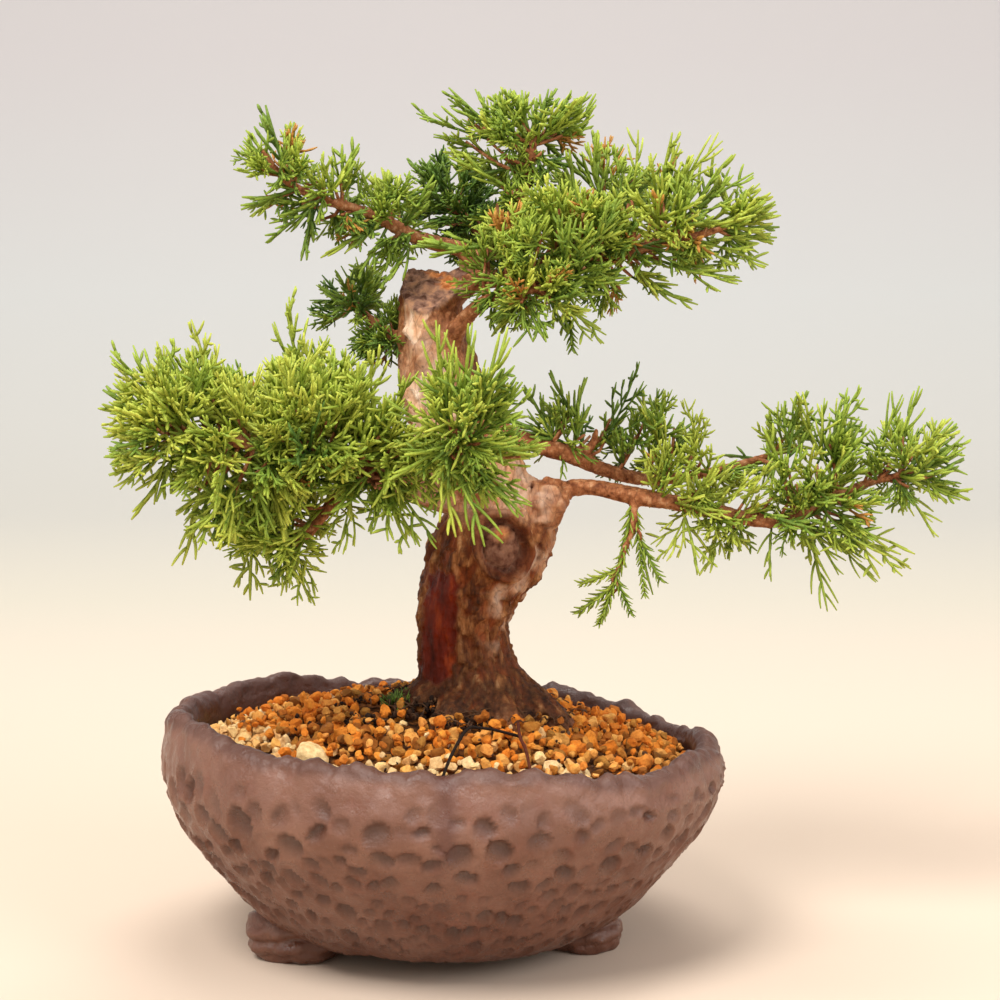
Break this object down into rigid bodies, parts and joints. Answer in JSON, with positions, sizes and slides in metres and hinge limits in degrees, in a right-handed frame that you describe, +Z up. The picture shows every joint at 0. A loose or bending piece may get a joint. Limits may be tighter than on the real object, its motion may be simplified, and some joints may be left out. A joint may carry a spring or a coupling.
{
  "type": "potted juniper bonsai tree",
  "caption": "Small juniper bonsai with a curved trunk and flat leaf pads, growing in gravelly soil in a round hand-pinched unglazed clay bowl on three pad feet.",
  "frame": {"origin": "middle of the underside of the whole object's box, on the surface the feet stand on", "axes": "+Z up, +X to the right and +Y away from the front of the tree, whose front is the side where the trunk's wound scar shows"},
  "size_m": [0.225, 0.151, 0.2302],
  "materials": {
    "clay": "unglazed, reddish grey-brown, satin where it is smooth",
    "plastic_mesh": "moulded black mesh",
    "wire": "plain soft wire",
    "soil": "packed clay granules, matte",
    "akadama": "loose fired clay granules, matte, orange brown",
    "pumice": "loose pumice grains, matte, cream",
    "pebble": "smooth small pebble, matte",
    "humus": "dark crumbly humus and bark bits",
    "moss": "fine moss",
    "dry_root": "thin dry dark root",
    "dry_twig": "thin dry reddish twig",
    "bark": "flaking juniper bark, grey brown over red brown",
    "leaf": "scale-leaf juniper foliage, satin, bright green"
  },
  "bodies": {
    "root": {"pot": "clay", "drainage_mesh": "plastic_mesh", "mesh_clip_wire": "wire", "soil_body": "soil", "akadama_layer": "akadama", "pumice_edge": "pumice", "cream_pebble": "pebble", "humus_patch": "humus", "moss_tuft": "moss", "dry_root_strand": "dry_root", "dry_twig": "dry_twig", "trunk_and_branches": "bark", "foliage_left_outer": "leaf", "foliage_left_inner": "leaf", "foliage_left_back": "leaf", "foliage_front": "leaf", "foliage_mid_left": "leaf", "foliage_upper_left": "leaf", "foliage_back": "leaf", "foliage_crown": "leaf", "foliage_upper_inner": "leaf", "foliage_upper_outer": "leaf", "foliage_upper_rear": "leaf", "foliage_middle": "leaf", "foliage_right_inner": "leaf", "foliage_right_outer": "leaf", "foliage_right_tip": "leaf", "foliage_hanging": "leaf"}
  },
  "joints": []
}
